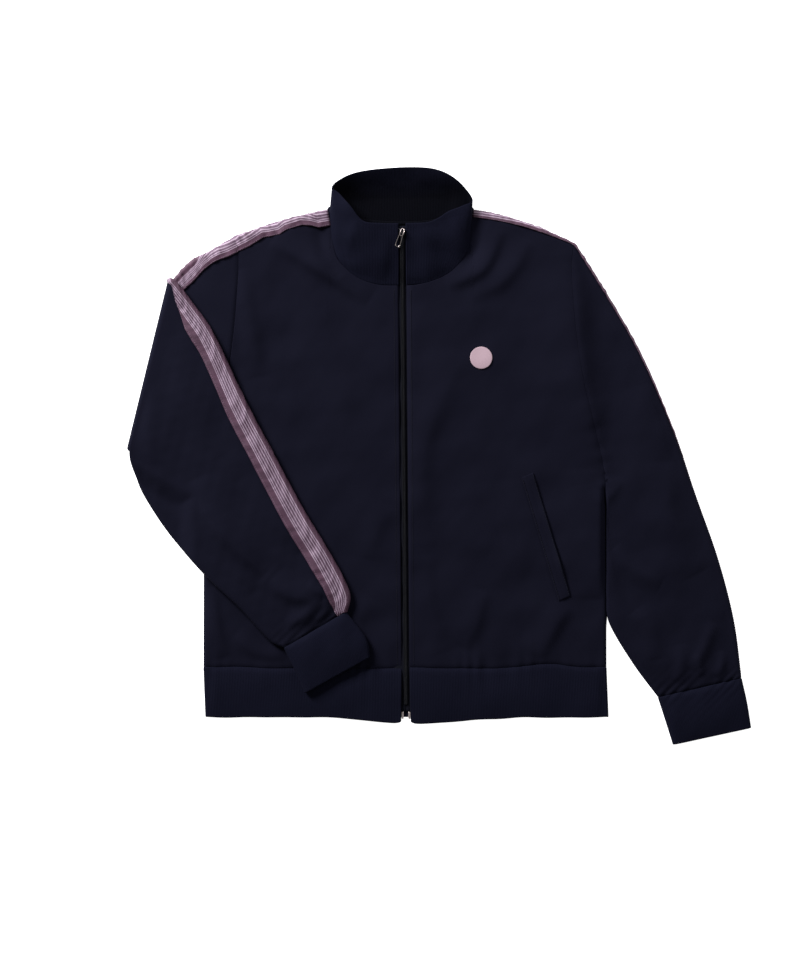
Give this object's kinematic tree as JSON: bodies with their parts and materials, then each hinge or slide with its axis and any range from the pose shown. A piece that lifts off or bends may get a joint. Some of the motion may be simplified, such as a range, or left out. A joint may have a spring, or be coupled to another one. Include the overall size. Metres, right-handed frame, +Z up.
{
  "type": "track jacket",
  "caption": "Zip-front track jacket with stand collar, ribbed cuffs and hem and braid-taped sleeves, laid flat with one sleeve folded over the front.",
  "frame": {"origin": "centre of the laid-out jacket's bounding box, on the surface that it lies on", "axes": "+X towards the wearer's left sleeve, +Y from the hem to the collar, +Z up from the surface, out of the front"},
  "size_m": [0.7875, 0.7277, 0.0286],
  "materials": {
    "body_knit": "dark navy tricot knit with a soft nap",
    "rib_knit": "dark navy fine rib",
    "braid_tape": "mauve braid with pale lines",
    "zip_tape": "woven dark grey",
    "zip_coil": "moulded coil, satin",
    "pull_metal": "bright plated casting and wire",
    "patch_print": "matt raised print"
  },
  "bodies": {
    "jacket": {"back_panel": "body_knit", "front_left": "body_knit", "front_right": "body_knit", "sleeve_left": "body_knit", "sleeve_right": "body_knit", "welt_left": "body_knit", "welt_right": "body_knit", "hem_band": "rib_knit", "cuff_left": "rib_knit", "cuff_right": "rib_knit", "collar": "rib_knit", "tape_left": "braid_tape", "tape_right": "braid_tape", "zip_tape_left": "zip_tape", "zip_tape_right": "zip_tape", "zip_chain": "zip_coil", "zip_box": "pull_metal", "zip_pin": "pull_metal", "slider": "pull_metal", "chest_patch": "patch_print"},
    "tab": {"pull_tab": "pull_metal"}
  },
  "joints": [
    {"name": "tab_swing", "type": "hinge", "parent": "jacket", "child": "tab", "pos_m": [-0.04707, 0.28083, 0.02592], "axis": [-0.9744, 0.2216, 0.0389], "range_deg": [0, 150]}
  ]
}
